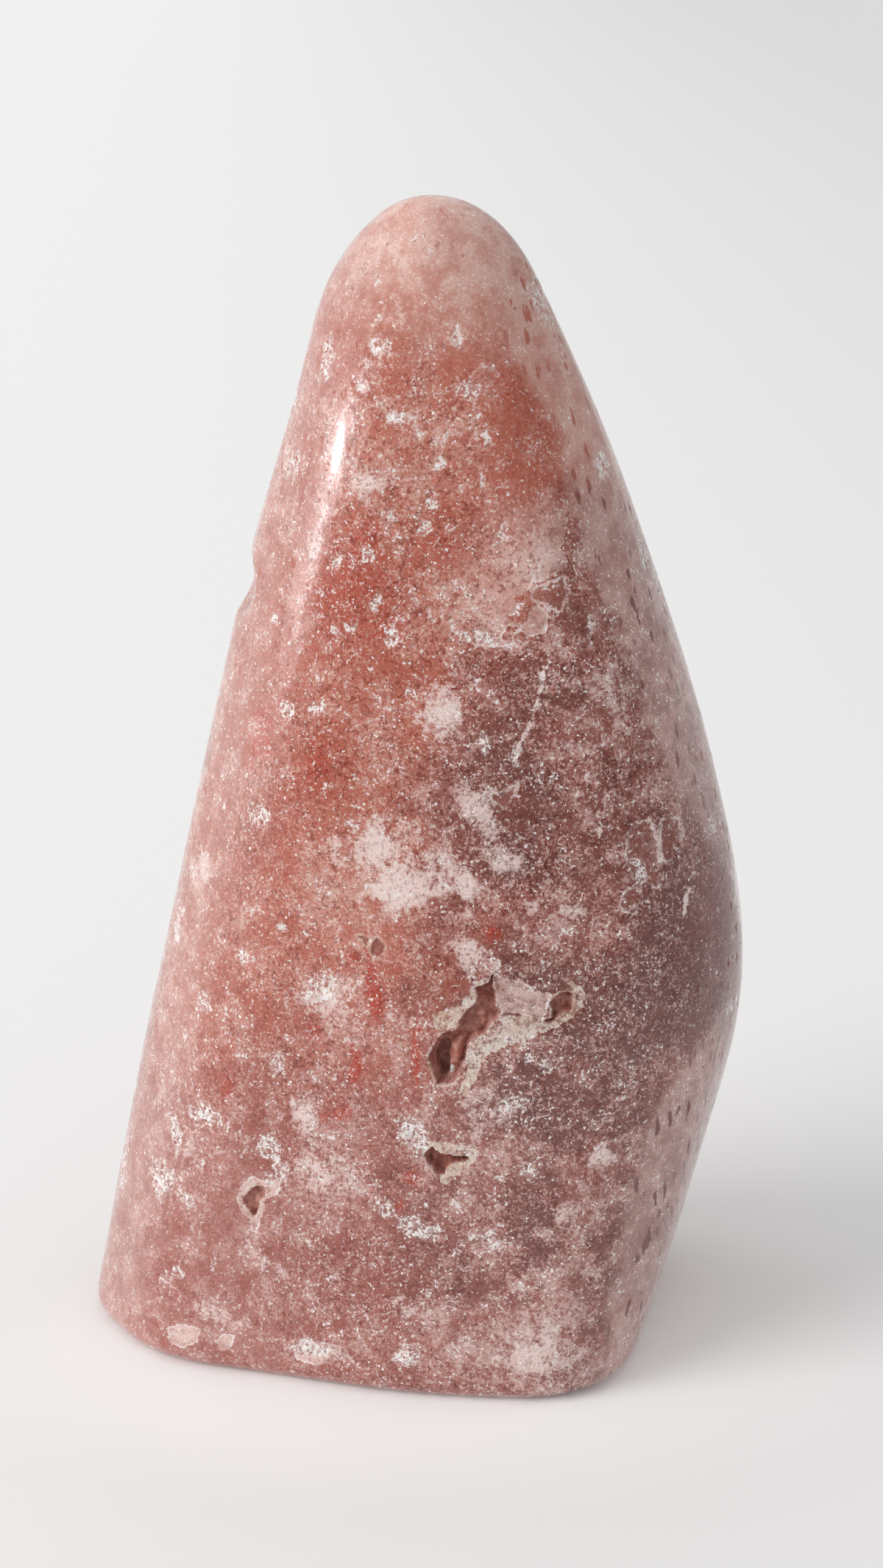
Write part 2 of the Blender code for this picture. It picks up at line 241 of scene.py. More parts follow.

# Druzy clusters, where broken crystals show white with painted glints; the small one at x 3.8,
# z 34.5 is a painted glint low in the main vug:
CLUSTERS = rows(
    "-20 26.9 1.8 0.9 8, -21.9 26.9 0.7 0.6, -23.8 24.4 0.6 1.3 20, -13.7 24.2 1.1 1.9 20, "
    "-12.9 33.7 0.5 1.3, -8.4 41.8 1.3 1.5, -11.7 69 0.8 0.6, -9.1 69.6 0.8 0.5, "
    "-14.7 58.2 1 0.8, -2.4 19.8 1 1, -0.2 18.3 1.9 0.8 -15, 2.3 18.1 0.8 0.5, 0.1 28.2 1.5 1.7, "
    "-3 109.6 0.6 0.5 0 0.8, 0.5 113.2 0.4 0.4 0 0.7, -2.6 106.4 0.5 0.6 0 0.7, "
    "-3 103.7 0.8 0.5 0 0.9, -1.9 103.9 0.5 0.5, 4.5 104.5 0.4 0.8 15, 5.2 100.1 1 0.6 0 0.8, "
    "-4.7 100.2 0.7 0.7 0 0.7, -1.4 97.4 0.9 0.35 0 0.8, 0.6 96 0.3 0.8 15 0.8, "
    "2.4 95.2 0.5 0.35 30, 3.7 96.1 0.7 0.4 20 0.9, 6.5 97.7 0.5 0.35 0 0.8, "
    "7.3 95.4 0.25 0.8 25 0.8, 2.8 93.2 0.8 0.4 15 0.8, 2 89.6 0.8 0.5 0 0.9, "
    "6.7 91.5 0.3 0.9 10 0.8, 1.4 87.2 0.8 0.5 20 0.8, -1.6 88.2 0.4 0.4, "
    "8.4 86.4 0.4 1.1 -20 0.8, 7.1 67 0.4 1 10 0.7, 9.8 65.8 0.35 0.7 0 0.8, 12.4 73.4 0.3 1, "
    "-7.1 83.7 0.7 0.8, -4 84.5 0.6 0.7 10 0.8, -2.8 80.7 0.5 0.8 -20, -3.7 79.6 0.7 0.4, "
    "-1.6 76.9 0.6 0.7, -5.5 77.4 0.7 0.4 0 0.8, -7.2 77.2 0.4 0.4, 0.3 80.6 0.6 0.4 0 0.8, "
    "2.2 78.7 0.4 1 25 0.8, 0.1 71.7 0.5 0.5, 3.9 78.3 0.4 0.7 20 0.8, -8.8 4.2 2.6 0.7, "
    "-0.4 4.5 1.4 1 0 0.7, -25.2 9 0.5 0.9 0 0.8, -23.6 9.8 0.5 0.7, -20.2 10.9 0.4 1.1 -20 0.8, "
    "-17 11.3 0.35 0.3, 9.3 31.4 1.5 0.6 15 0.8, -5.5 58.5 1.1 0.7 0 0.7, "
    "21.8 54.2 0.9 2.6 10 0.5, 5.8 77.2 2.6 0.7 -8 0.8, 9.9 79.6 0.7 0.4 40, "
    "16.9 78 0.3 0.8 0 0.7, 3.8 34.5 0.3 0.4, 11 24.5 1.2 0.7 0 0.7, 8.8 23.7 0.7 0.5 0 0.8, "
    "7.5 17.5 1.4 0.8 0 0.7, 4.8 20.9 0.9 0.5 0 0.7, -8 12 0.9 0.6 0 0.7, "
    "-12.5 47.5 0.8 0.6 0 0.8, -22.4 18 0.9 0.8 0 0.6, -16.5 44 0.5 0.8 0 0.8, "
    "-13 77 0.5 0.7 0 0.7, 11.3 36.1 0.4 0.4, 13 35.4 0.5 0.7 40 0.8, 14.9 48.7 1 0.4 0 0.7, "
    "-20.6 38 1.2 0.8 0 0.9"
)

# Iron-red threads: half width, and the points they run through as x and z, in mm.
THREADS = (
    (0.24, rows("-4.3 46.4, -4.2 44.3, -4.3 41.2, -3.5 40.2, -2.9 39.2")),
    (0.24, rows("-5.8 36.2, -5.7 35.3, -5.3 33.6, -5 32.1")),
    (0.18, rows("0.4 37.6, 0.2 36, 0.7 34.2, 0.5 33.2")),
    (0.16, rows("-0.9 48, -1 46.6")),
)

# Iron-red stains:
IRON_STAINS = rows(
    "-3.6 41.9 0.6 2.8 8, -5.5 34.1 0.5 1.9 -10, -7 29.2 1 0.8 0 0.8, 0.5 35.9 0.5 2.8 0 0.9, "
    "7.8 48.5 0.8 0.9 0 0.8, -8.6 64 1.8 2.9 0 0.55, -5.5 81.2 4.2 6.2 0 0.45, "
    "-14.8 65.6 2 4.1 0 0.5, -5.6 45.4 0.7 0.7 0 0.9, -7.3 29.5 1.8 1.3 20 0.5, "
    "-18.2 30.6 1 1.9 0 0.5, 0 23.4 0.9 0.8 0 0.7, -1.4 20.2 0.7 0.8 0 0.7, "
    "-9.3 37.6 1 0.8 0 0.6, 4.3 85 2.7 2.1 0 0.4, 8.9 101 2 5 0 0.22"
)

# Where the ground colour is paler, or with a negative strength deeper, than all round. The two
# deepest, at x 26.5 and 31.5 on the bulge, are painted shade where it faces away from the key
# light, and the one at x 8, z 107 is painted sheen on the crown:
SHADES = rows(
    "16.5 86 4 8 12 0.35, 25 28 3.5 8 -15 0.45, -5 53 9 6 0 0.9, -6.5 23.5 5 4.5 0 0.45, "
    "7 26 5 4 0 0.35, 18.5 70 3.5 4 0 0.45, 16 50.5 4 3.5 0 0.35, 12 8 9 6 15 0.8, "
    "20 24 5 5 0 0.4, -19 6 6 2.5 0 0.35, 0 114 4 3 0 0.4, 9.8 60.8 5 7 10 -0.45, "
    "31.5 45.5 5.5 9.5 8 -1.25, 26.5 45.5 5 9 8 -1.1, 14.5 43 6.5 4 0 -0.5, "
    "20.5 40 5.5 8 0 -0.45, 14.5 31 6 4.5 0 -0.45, -2.5 22 3.2 4 0 -0.4, -3 13.5 8 5 0 -0.5, "
    "-19 15 8 10 0 0.35, -5.5 80 4.5 6 0 -0.4, 4 86 4 4 0 -0.3, 11 94.5 3.5 6.5 0 -0.5, "
    "28 59 3 7 18 -0.6, -8 63 3.5 5 0 -0.35, 3 43.5 5 3 0 -0.4, 0.5 94 7 7 0 0.35, "
    "8 107 5 5 0 0.5, -13 56 6 7 0 -0.45"
)

# Pale healed cracks: half width, and the points they run through as x and z, in mm.
VEINS = (
    (0.26, rows("12.4 74.2, 12.2 72.4, 11.4 69.3, 10.5 67.3, 9.8 65.4")),
    (0.16, rows("16.4 65.1, 16.8 63.1, 17.4 61.5, 17.7 59.6, 18 58")),
    (0.25, rows("22 51, 20.9 49.7")),
    (0.2, rows("27 52.5, 26.4 51, 26.6 49.6")),
)

# Where the coral of the upper left gives way to mauve: z and x in mm.
MAUVE_EDGE = rows("0 4, 20 3, 35 2, 50 3, 65 3, 75 7, 85 13, 95 21, 105 29")
MAUVE_BLEND = 7.0  # mm to either side of it over which they mix

# The band of painted reflection down the right flank, pale where the polish would mirror the
# bright room at a glancing angle: height and inner edge, z and x in mm.
RIGHT_SHEEN = rows(
    "0 18.5, 10 19.8, 16.3 20.9, 22.2 21.9, 27.9 23.7, 33 26.2, 37 30.6, 41 34.4, 45 35.6, "
    "49.4 33.6, 55.6 29, 63.2 25.2, 73.7 21.2, 87.9 16.6, 94.8 13.8, 106 9"
)

HIDDEN_CLOUDS = 34
HIDDEN_CLUSTERS = 46
HIDDEN_STAINS = 12

# == Camera and studio ==

CAMERA_TARGET = (0.00291, 0.0, 0.05777)
CAMERA_DISTANCE = 0.30468
CAMERA_ELEVATION = 18.0
CAMERA_LENS = 70.0
CAMERA_SENSOR = 36.0

FLOOR_RADIUS = 6.0
# Painted shade: the paper darkens towards the right, as the light from the left falls off.
FLOOR_LEFT_COLOUR = (0.93, 0.927, 0.927)
FLOOR_SHADED_COLOUR = (0.75, 0.75, 0.755)
FLOOR_SHADE_FADE = (-0.15, 0.40)  # metres across between which the one gives way to the other
FLOOR_SHADE_SLANT = 0.06  # metres that this moves to the left for each metre towards the back
# The floor glows in front of the stone, a painted pool of light where the stone shades it: middle,
# reach and strength.
FLOOR_GLOW_MIDDLE = (0.002, -0.014, 0.0)
FLOOR_GLOW_REACH = (0.050, 0.028)
FLOOR_GLOW_STRENGTH = 0.11
# What the polish mirrors of the paper lying in front of the stone: beyond this it is a dark room.
PAPER_FRONT = (-0.12, -0.30)
ROOM_COLOUR = (0.10, 0.095, 0.095)
# Light from all round, as radiance: the dark room, the bright ceiling, the white sweep behind the
# stone and the window side at its left, and what the camera sees of the sweep.
ROOM_LIGHT = 0.12
CEILING_LIGHT = 0.60
SWEEP_LIGHT = 0.55
WINDOW_LIGHT = 0.12
SWEEP_SEEN = 0.79
# Large far softboxes that light the stone without being mirrored in it: turn from the front
# towards -X, height angle and how wide each looks from the stone in degrees, watts per square
# metre, and colour.
SOFTBOXES = {
    "key": (62.0, 30.0, 36.0, 1.40, (1.0, 0.985, 0.97)),
    "side": (73.0, 12.0, 24.0, 0.36, (1.0, 0.985, 0.97)),
}
# Small strips that only shine in the polish of the left ridge: place, width, height, watts.
STRIPS = {
    "strip_core": ((-0.496, -0.122, 0.110), 0.095, 0.024, 0.140),
    "strip_inner": ((-0.496, -0.122, 0.109), 0.170, 0.034, 0.070),
    "strip_middle": ((-0.496, -0.122, 0.108), 0.330, 0.056, 0.140),
    "strip_glow": ((-0.496, -0.122, 0.105), 0.560, 0.085, 0.190),
    "strip_line": ((-0.480, -0.177, 0.093), 0.018, 0.014, 0.010),
    "strip_tail": ((-0.509, -0.078, 0.075), 0.095, 0.038, 0.024),
    "strip_haze": ((-0.509, -0.078, 0.072), 0.240, 0.056, 0.065),
}
STRIP_TARGET = (-0.008, -0.011, 0.088)


# == The ground body ==


def new_object(name, data):
    made = bpy.data.objects.new(name, data)
    bpy.context.scene.collection.objects.link(made)
    return made


def heading(turn, lean):
    """The direction turned from the front towards +X and leaning upwards, both in degrees."""
    turn, lean = math.radians(turn), math.radians(lean)
    return np.array(
        (math.sin(turn) * math.cos(lean), -math.cos(turn) * math.cos(lean), math.sin(lean))
    )


def soft_max(a, b, width):
    """The larger of two distances, rounded where they are within width of each other."""
    overlap = np.maximum(width - np.abs(a - b), 0.0) / width
    return np.maximum(a, b) + overlap**2 * width / 4


def smooth(value, low, high):
    share = np.clip((value - low) / (high - low), 0.0, 1.0)
    return share * share * (3 - 2 * share)


def grinding_waves(points):
    total = np.zeros(points.shape[:-1])
    for length, direction in WAVES:
        total += np.sin(points @ direction * math.tau / length)
    return total * WAVE_HEIGHT


def chip_depth(points):
    """Signed distance to the chip's bite, negative inside it."""
    scaled = (points - CHIP_CENTRE) / CHIP_RADII
    return (np.linalg.norm(scaled, axis=-1) - 1) * min(CHIP_RADII)


def stone_field(points):
    """Signed distance to the ground body, negative inside. The foot is cut by the rings."""
    side = {
        name: points @ heading(turn, lean) - reach
        for name, (turn, lean, reach) in FACETS.items()
    }
    front = soft_max(side["front_left"], side["front_right"], FRONT_EDGE)
    left = soft_max(side["left_edge"], side["left_side"], LEFT_SIDE_EDGE)
    upper_right = soft_max(side["right_high"], side["right_mid"], RIGHT_SIDE_EDGE)
    lower_right = soft_max(side["undercut"], side["under_bulge"], UNDERCUT_EDGE)
    right = soft_max(upper_right, lower_right, UNDERCUT_TO_SIDE)
    right = soft_max(right, side["bulge"], BULGE_LIP)
    back = soft_max(side["back"], side["back_left"], BACK_EDGE)
    back = soft_max(back, side["back_right"], BACK_EDGE)
    body = soft_max(front, left, LEFT_RIDGE)
    body = soft_max(body, right, RIGHT_EDGE)
    body = soft_max(body, back, BACK_EDGE)
    body = soft_max(body, side["crown"], CROWN_EDGE)
    return soft_max(body + grinding_waves(points), -chip_depth(points), CHIP_EDGE)


def field_slope(points):
    """The field's gradient, which points out of the stone."""
    step = 1e-5
    parts = [
        stone_field(points + step * way) - stone_field(points - step * way) for way in np.eye(3)
    ]
    return np.stack(parts, axis=-1) / (2 * step)


def outward(points):
    slope = field_slope(points)
    return slope / np.linalg.norm(slope, axis=-1, keepdims=True)


def onto_field(points):
    """Points near the ground body, moved onto it."""
    for _ in range(3):
        slope = field_slope(points)
        points = points - slope * (stone_field(points) / (slope**2).sum(axis=-1))[:, None]
    return points


def surface_along(origin, directions, level=0.0):
    """Where rays from a point inside meet the field's level, found by halving."""
    near = np.zeros(len(directions))
    far = np.full(len(directions), LONGEST_RAY)
    for _ in range(HALVINGS):
        middle = (near + far) / 2
        inside = stone_field(origin + directions * middle[:, None]) < level
        near = np.where(inside, middle, near)
        far = np.where(inside, far, middle)
    return origin + directions * near[:, None]


def axis_at(height):
    return AXIS_FOOT + (AXIS_SHOULDER - AXIS_FOOT) * height / AXIS_SHOULDER[2]


def stone_rings():
    """Rings of points from the foot to the last one under the apex."""
    around = np.linspace(0.0, math.tau, STEPS_AROUND, endpoint=False)
    flat = np.stack([np.cos(around), np.sin(around), np.zeros(STEPS_AROUND)], axis=-1)
    rings = []
    for angle in np.linspace(0.0, math.pi / 2, STEPS_FOOT_EDGE, endpoint=False):
        height = FOOT_EDGE_RADIUS * (1 - math.cos(angle))
        level = -FOOT_EDGE_RADIUS * (1 - math.sin(angle))
        rings.append(surface_along(axis_at(height), flat, level))
    for height in np.linspace(FOOT_EDGE_RADIUS, AXIS_SHOULDER[2], STEPS_UP):
        rings.append(surface_along(axis_at(height), flat))
    for rise in np.linspace(0.0, math.pi / 2, STEPS_DOME + 1)[1:-1]:
        upward = np.array((0.0, 0.0, math.sin(rise)))
        rings.append(surface_along(AXIS_SHOULDER, flat * math.cos(rise) + upward))
    return rings


def even_mesh():
    """The ground body as an even bmesh of rings."""
    rings = stone_rings()
    apex = surface_along(AXIS_SHOULDER, np.array([[0.0, 0.0, 1.0]]))
    points = np.concatenate([*rings, apex])
    faces = [tuple(reversed(range(STEPS_AROUND)))]
    for ring in range(len(rings) - 1):
        low, high = ring * STEPS_AROUND, (ring + 1) * STEPS_AROUND
        for i in range(STEPS_AROUND):
            j = (i + 1) % STEPS_AROUND
            faces.append((low + i, low + j, high + j, high + i))
    last, tip = (len(rings) - 1) * STEPS_AROUND, len(points) - 1
    faces += [(last + i, last + (i + 1) % STEPS_AROUND, tip) for i in range(STEPS_AROUND)]
    mesh = bpy.data.meshes.new("even")
    mesh.from_pydata(points.tolist(), [], faces)
    dense = bmesh.new()
    dense.from_mesh(mesh)
    bpy.data.meshes.remove(mesh)
    return dense


# == Noise, outlines and blobs ==


def fractal(points, size, octaves=3, shift=0.0):
    """Fractal noise from about -1 to 1, its largest blobs size across, in the points' unit."""
    scaled = points / size + shift
    return np.array([noise.fractal(p, 0.8, 2.0, octaves) for p in scaled.tolist()])


def segment_gaps(flat, start, end):
    """The way from the nearest point of a line to each (x, z)."""
    side = end - start
    share = np.clip((flat - start) @ side / (side @ side), 0.0, 1.0)
    return flat - start - share[:, None] * side


def outline_depth(flat, outline):
    """How far inside an outline each (x, z) lies, negative outside, all in mm."""
    corners = np.array(outline, dtype=float)
    nearest = np.full(len(flat), np.inf)
    inside = np.zeros(len(flat), dtype=bool)
    for start, end in zip(corners, np.roll(corners, -1, axis=0)):
        nearest = np.minimum(nearest, np.hypot(*segment_gaps(flat, start, end).T))
        crosses = (start[1] > flat[:, 1]) != (end[1] > flat[:, 1])
        run, rise = end - start
        meets = start[0] + (flat[:, 1] - start[1]) * run / (rise or 1e-9)
        inside ^= crosses & (flat[:, 0] < meets)
    return np.where(inside, nearest, -nearest)


def deepest_inside(points, outlines, raggedness):
    """The largest depth inside any of the outlines at points of the front, in mm."""
    flat = points[:, (0, 2)] / MM
    near = points[:, 1] < FRONT_LIMIT
    ragged = raggedness * fractal(np.insert(flat[near], 1, 0.0, axis=1), 0.5)
    depth = np.full(len(points), -99.0)
    depth[near] = np.max([outline_depth(flat[near], o) for o in outlines], axis=0) + ragged
    return depth


def random_pair(cells, seed):
    """Two repeatable random numbers from 0 to 1 for each pair of whole numbers."""
    mixed = cells @ np.array((127.1, 311.7)) + seed * 74.7
    first = np.sin(mixed) * 43758.5453
    second = np.sin(mixed + 1.3) * 24634.6345
    return np.stack([first - np.floor(first), second - np.floor(second)], axis=-1)


def quartz_points(flat, spacing, seed):
    """Height from 0 to 1 of a bed of six-sided quartz points, seen from in front."""
    cell = np.floor(flat / spacing)
    height = np.zeros(len(flat))
    for across in (-1, 0, 1):
        for up in (-1, 0, 1):
            other = cell + (across, up)
            tip = (other + 0.15 + 0.7 * random_pair(other, seed)) * spacing
            kind = random_pair(other, seed + 7)
            offset = (flat - tip) / spacing
            reach = np.zeros(len(flat))
            for third in range(3):
                angle = kind[:, 0] * math.pi + third * math.pi / 3
                reach = np.maximum(
                    reach, np.abs(offset[:, 0] * np.cos(angle) + offset[:, 1] * np.sin(angle))
                )
            height = np.maximum(height, 0.55 + 0.45 * kind[:, 1] - reach * 0.95)
    return height


class Blob:
    """A soft patch on the stone, an ellipse on its surface."""

    def __init__(self, point, half_width, half_height, turn=0.0, strength=1.0):
        self.point = point
        self.strength = strength
        self.normal = outward(point[None])[0]
        right = np.cross((0.0, 0.0, 1.0), self.normal)
        right /= np.linalg.norm(right)
        rise = np.cross(self.normal, right)
        turn = math.radians(turn)
        self.right = (right * math.cos(turn) + rise * math.sin(turn)) / (half_width * MM)
        self.rise = (rise * math.cos(turn) - right * math.sin(turn)) / (half_height * MM)
        self.thickness = max(half_width, half_height, 2.5) * MM

    def reach(self, points):
        """0 in the middle, 1 on the ellipse."""
        offset = points - self.point
        return np.sqrt(
            (offset @ self.right) ** 2
            + (offset @ self.rise) ** 2
            + (offset @ self.normal / self.thickness) ** 2
        )


def front_point(x, z):
    """The point of the front surface at (x, z), both in mm."""
    start = axis_at(z * MM)
    start[0] = x * MM
    return surface_along(start, np.array([[0.0, -1.0, 0.0]]))[0]


def hidden_point(draw):
    """A point on the back or a side, drawn at random."""
    angle = math.radians(draw.uniform(-20, 200))
    height = draw.uniform(4, 108) * MM
    direction = np.array([[math.cos(angle), math.sin(angle), 0.0]])
    return surface_along(axis_at(height), direction)[0]


def hidden_patch(draw, least, most):
    """A patch there, its size, turn and strength also at random."""
    size = draw.uniform(least, most, 2)
    return Blob(hidden_point(draw), *size, draw.uniform(-60, 60), draw.uniform(0.4, 1))


def edge_warp(points):
    """What makes the edges of the patches ragged."""
    small = fractal(points, MM, 3, shift=8.0)
    return 0.35 * fractal(points, 2.2 * MM, 3, shift=5.0) + 0.30 * small


def blob_mask(points, blobs, warp):
    """1 in the middle of the patches, falling to 0 a little outside them."""
    masks = [blob.strength * smooth(blob.reach(points) + warp, 1.6, 0.0) for blob in blobs]
    return np.max(masks, axis=0) + np.minimum(np.min(masks, axis=0), 0.0)


def line_mask(points, lines):
    """1 on the lines, 0 beside them."""
    flat = points[:, (0, 2)] / MM
    total = np.zeros(len(points))
    wander = 0.35 * fractal(points, 1.6 * MM, 2, shift=3.0)
    for half_width, path in lines:
        for start, end in zip(np.array(path), np.array(path[1:])):
            far = np.hypot(*(segment_gaps(flat, start, end) + wander[:, None]).T)
            total = np.maximum(total, smooth(far, 1.8 * half_width, 0.3 * half_width))
    return np.where(points[:, 1] < FRONT_LIMIT, total, 0.0)


# == The dense stone ==


def flake_mask(points):
    """Depth inside the flakes in mm, and how pale they are from 0 to 1."""
    depth = np.full(len(points), -99.0)
    pale = np.zeros(len(points))
    x, _, z = (points / MM).T
    for (middle_x, middle_z, reach), outline in FLAKES.values():
        within = deepest_inside(points, [outline], 0.16)
        fade = smooth(np.hypot(x - middle_x, z - middle_z), reach, 0.25 * reach)
        pale = np.maximum(pale, fade * smooth(within, -0.25, 0.0))
        depth = np.maximum(depth, within)
    return depth, pale


def outlines(table):
    return [outline for _, outline in table.values()]


def crisp_outlines():
    return [*CRUSTS.values(), *outlines(FLAKES), *PANES.values()]


def refine(dense, wanted):
    """Splits the faces whose centre is wanted in four, and puts the new vertices on the body."""
    dense.faces.ensure_lookup_table()
    centres = np.array([face.calc_center_median() for face in dense.faces])
    chosen = np.flatnonzero(wanted(centres))
    edges = {edge for index in chosen for edge in dense.faces[index].edges}
    before = len(dense.verts)
    bmesh.ops.subdivide_edges(dense, edges=list(edges), cuts=1, use_grid_fill=True)
    dense.verts.ensure_lookup_table()
    added = dense.verts[before:]
    places = onto_field(np.array([vertex.co for vertex in added]))
    for vertex, place in zip(added, places.tolist()):
        vertex.co = place


def cluster_reach(points, clusters):
    return np.min([blob.reach(points) for blob in clusters], axis=0)


def refined_mesh(clusters):
    dense = even_mesh()
    for vug_depth, edge_width, reach in REFINEMENTS:
        def wanted(points):
            vug = deepest_inside(points, outlines(VUGS), VUG_RAGGEDNESS) > vug_depth
            crisp = np.abs(deepest_inside(points, crisp_outlines(), 0.2)) < edge_width
            return vug | crisp | (cluster_reach(points, clusters) < reach)

        refine(dense, wanted)
    bmesh.ops.triangulate(dense, faces=[f for f in dense.faces if len(f.verts) > 4])
    return dense


def carve_depth(points, clusters, warp):
    """How deep each point is sunk below the polish, in mm, and how far inside a vug it is."""
    flat = points[:, (0, 2)] / MM
    depth = np.zeros(len(points))
    inside = np.full(len(points), -99.0)
    druze = quartz_points(flat, DRUZE_SPACING, 1)
    for floor, outline in VUGS.values():
        within = deepest_inside(points, [outline], VUG_RAGGEDNESS)
        wall = smooth(within, -0.03, VUG_WALL * (1 + floor / 4))
        depth = np.maximum(depth, wall * (floor - DRUZE_HEIGHT * min(floor, 1.0) * druze))
        inside = np.maximum(inside, within)
    for x, z, half_width, half_height, turn, rise in VUG_CRYSTALS:
        crystal = Blob(front_point(x, z), half_width, half_height, turn)
        depth -= rise * np.maximum(1.0 - crystal.reach(points), 0.0) * smooth(depth, 0.2, 1.2)
    crisp = smooth(deepest_inside(points, crisp_outlines(), 0.16), -0.03, 0.05)
    small = quartz_points(flat, 0.45, 5)
    sparkle = blob_mask(points, clusters, 2.0 * warp)
    depth = np.maximum(depth, CRUST_STEP * crisp + 0.16 * sparkle * (1 - small))
    return depth, inside


def marking_masks(points, inside, clusters, clouds, stains, shades):
    """The stone's markings as numbers from 0 to 1 at each point."""
    x, y, z = (points / MM).T
    slow = fractal(points, 9 * MM, 3)
    warp = edge_warp(points)
    edge_x = np.interp(z, *zip(*MAUVE_EDGE))
    front_mauve = smooth(x - edge_x + 6.0 * slow, -MAUVE_BLEND, MAUVE_BLEND)
    back_mauve = smooth(fractal(points, 24 * MM, 3, shift=9.0), -0.25, 0.35)
    facing_front = smooth(-y, -6.0, 6.0)
    mauve = front_mauve * facing_front + back_mauve * (1 - facing_front)
    # Painted reflection: the flanks are made pale where the polish would mirror the bright room.
    across, toward, _ = outward(points).T
    band_x = np.interp(z, *zip(*RIGHT_SHEEN))
    right_sheen = smooth(x - band_x + 1.3 * slow, -1.0, 0.5) * smooth(across, 0.10, 0.35)
    right_sheen *= smooth(toward, 0.25, -0.15)
    beside = np.maximum(smooth(z + 12 * slow, 48, 22), smooth(z + 12 * slow, 54, 80))
    right_sheen += (0.8 * beside - right_sheen) * smooth(across, 0.82, 0.97)
    left_sheen = smooth(across, -0.60, -0.88) * smooth(toward, 0.4, -0.2)
    # The crown is made paler, part painted sheen of the bright ceiling, part frost.
    dome = smooth(z, 100, 113)
    # Little grain on the crown, the left side, the upper right, the lower left and the bulge:
    quiet = np.maximum.reduce([
        0.9 * smooth(z, 94, 108),
        0.2 * smooth(across, -0.10, -0.65),
        0.7 * smooth(x + 3 * slow, 3, 9) * smooth(z, 82, 92),
        0.7 * smooth(x + 4 * slow, -6, -18) * smooth(z, 36, 14),
        0.9 * smooth(x + 2 * slow, 22, 28) * smooth(np.abs(z - 44), 13, 6),
    ])
    flake, flake_pale = flake_mask(points)
    return {
        "mauve": mauve,
        # Greyish pink low down; on the left flank the same, as painted shade against the light
        # from the left.
        "dusty_and_shade": np.maximum(
            smooth(z + 6 * slow, 46, 22), 0.5 * smooth(across, -0.3, -0.8)
        ),
        "frost": 0.5 + 0.3 * fractal(points, 7 * MM, 3, shift=2.0),
        "shade": blob_mask(points, shades, warp),
        # Painted reflection down both flanks; on the crown part painted sheen, part frost.
        "painted_sheen_and_milky": np.maximum.reduce([0.65 * right_sheen, 0.3 * left_sheen, 0.7 * dome]),
        "quiet": quiet,
        # Frost, a painted glow round the left ridge's highlight, and on the crown part painted
        # sheen.
        "cloud": np.maximum(blob_mask(points, clouds, warp), 0.25 * dome),
        "druze": blob_mask(points, clusters, 2.0 * warp),
        "iron": blob_mask(points, stains, warp),
        "vein": line_mask(points, VEINS),
        "thread": line_mask(points, THREADS),
        "band": right_sheen,
        "vug": inside,
        "crust": deepest_inside(points, CRUSTS.values(), 0.25),
        "pane": deepest_inside(points, PANES.values(), 0.30),
        "flake": flake,
        "flake_pale": flake_pale,
    }


def stone_piece():
    draw = np.random.default_rng(7)
    clouds, clusters, stains, shades = (
        [Blob(front_point(x, z), *rest) for x, z, *rest in table]
        for table in (CLOUDS_AND_GLOW, CLUSTERS, IRON_STAINS, SHADES)
    )
    clouds += [hidden_patch(draw, 1.2, 4.5) for _ in range(HIDDEN_CLOUDS)]
    for _ in range(HIDDEN_CLUSTERS):
        clusters.append(Blob(hidden_point(draw), *draw.uniform(0.6, 2.2, 2)))
    stains += [hidden_patch(draw, 0.5, 3.0) for _ in range(HIDDEN_STAINS)]

    dense = refined_mesh(clusters)
    mesh = bpy.data.meshes.new("polished_stone")
    dense.to_mesh(mesh)
    dense.free()
    ground = np.empty(len(mesh.vertices) * 3)
    mesh.vertices.foreach_get("co", ground)
    ground = ground.reshape(-1, 3)
    warp = edge_warp(ground)
    depth, inside = carve_depth(ground, clusters, warp)
    normal = outward(ground)
    carved = ground - normal * depth[:, None] * MM
    low, high = carved.min(axis=0), carved.max(axis=0)
    cad_low, cad_high = np.array(CAD_BOX[0]), np.array(CAD_BOX[1])
    fit = np.minimum((cad_high - cad_low) / (high - low), 1.0)
    carved = (carved - (low + high) / 2) * fit + (cad_low + cad_high) / 2
    mesh.vertices.foreach_set("co", carved.ravel())
    for name, values in marking_masks(ground, inside, clusters, clouds, stains, shades).items():
        layer = mesh.attributes.new(name, "FLOAT", "POINT")
        layer.data.foreach_set("value", values.astype(np.float32))
    corner_depth = np.array([inside[list(face.vertices)].max() for face in mesh.polygons])
    mesh.polygons.foreach_set("use_smooth", corner_depth < 0.0)
    mesh.update()
    return new_object("polished_stone", mesh)


# == Material ==


def colour(red, green, blue):
    """A linear colour from the usual 0 to 255 values."""
    return tuple(
        (c / 255 / 12.92) if c <= 10 else ((c / 255 + 0.055) / 1.055) ** 2.4
        for c in (red, green, blue)
    ) + (1.0,)


# Body colours, each from deep to pale.
CORALS = (colour(184, 101, 82), colour(198, 124, 107), colour(225, 186, 174))
DUSTIES = (colour(160, 90, 79), colour(181, 120, 110), colour(215, 184, 177))
MAUVES = (colour(122, 71, 64), colour(164, 102, 92), colour(208, 172, 165))
# Painted shade, laid on the bulge where it faces away from the key light.
SHADOW_RED = colour(106, 6, 8)
CLOUD_WHITE = colour(246, 228, 224)
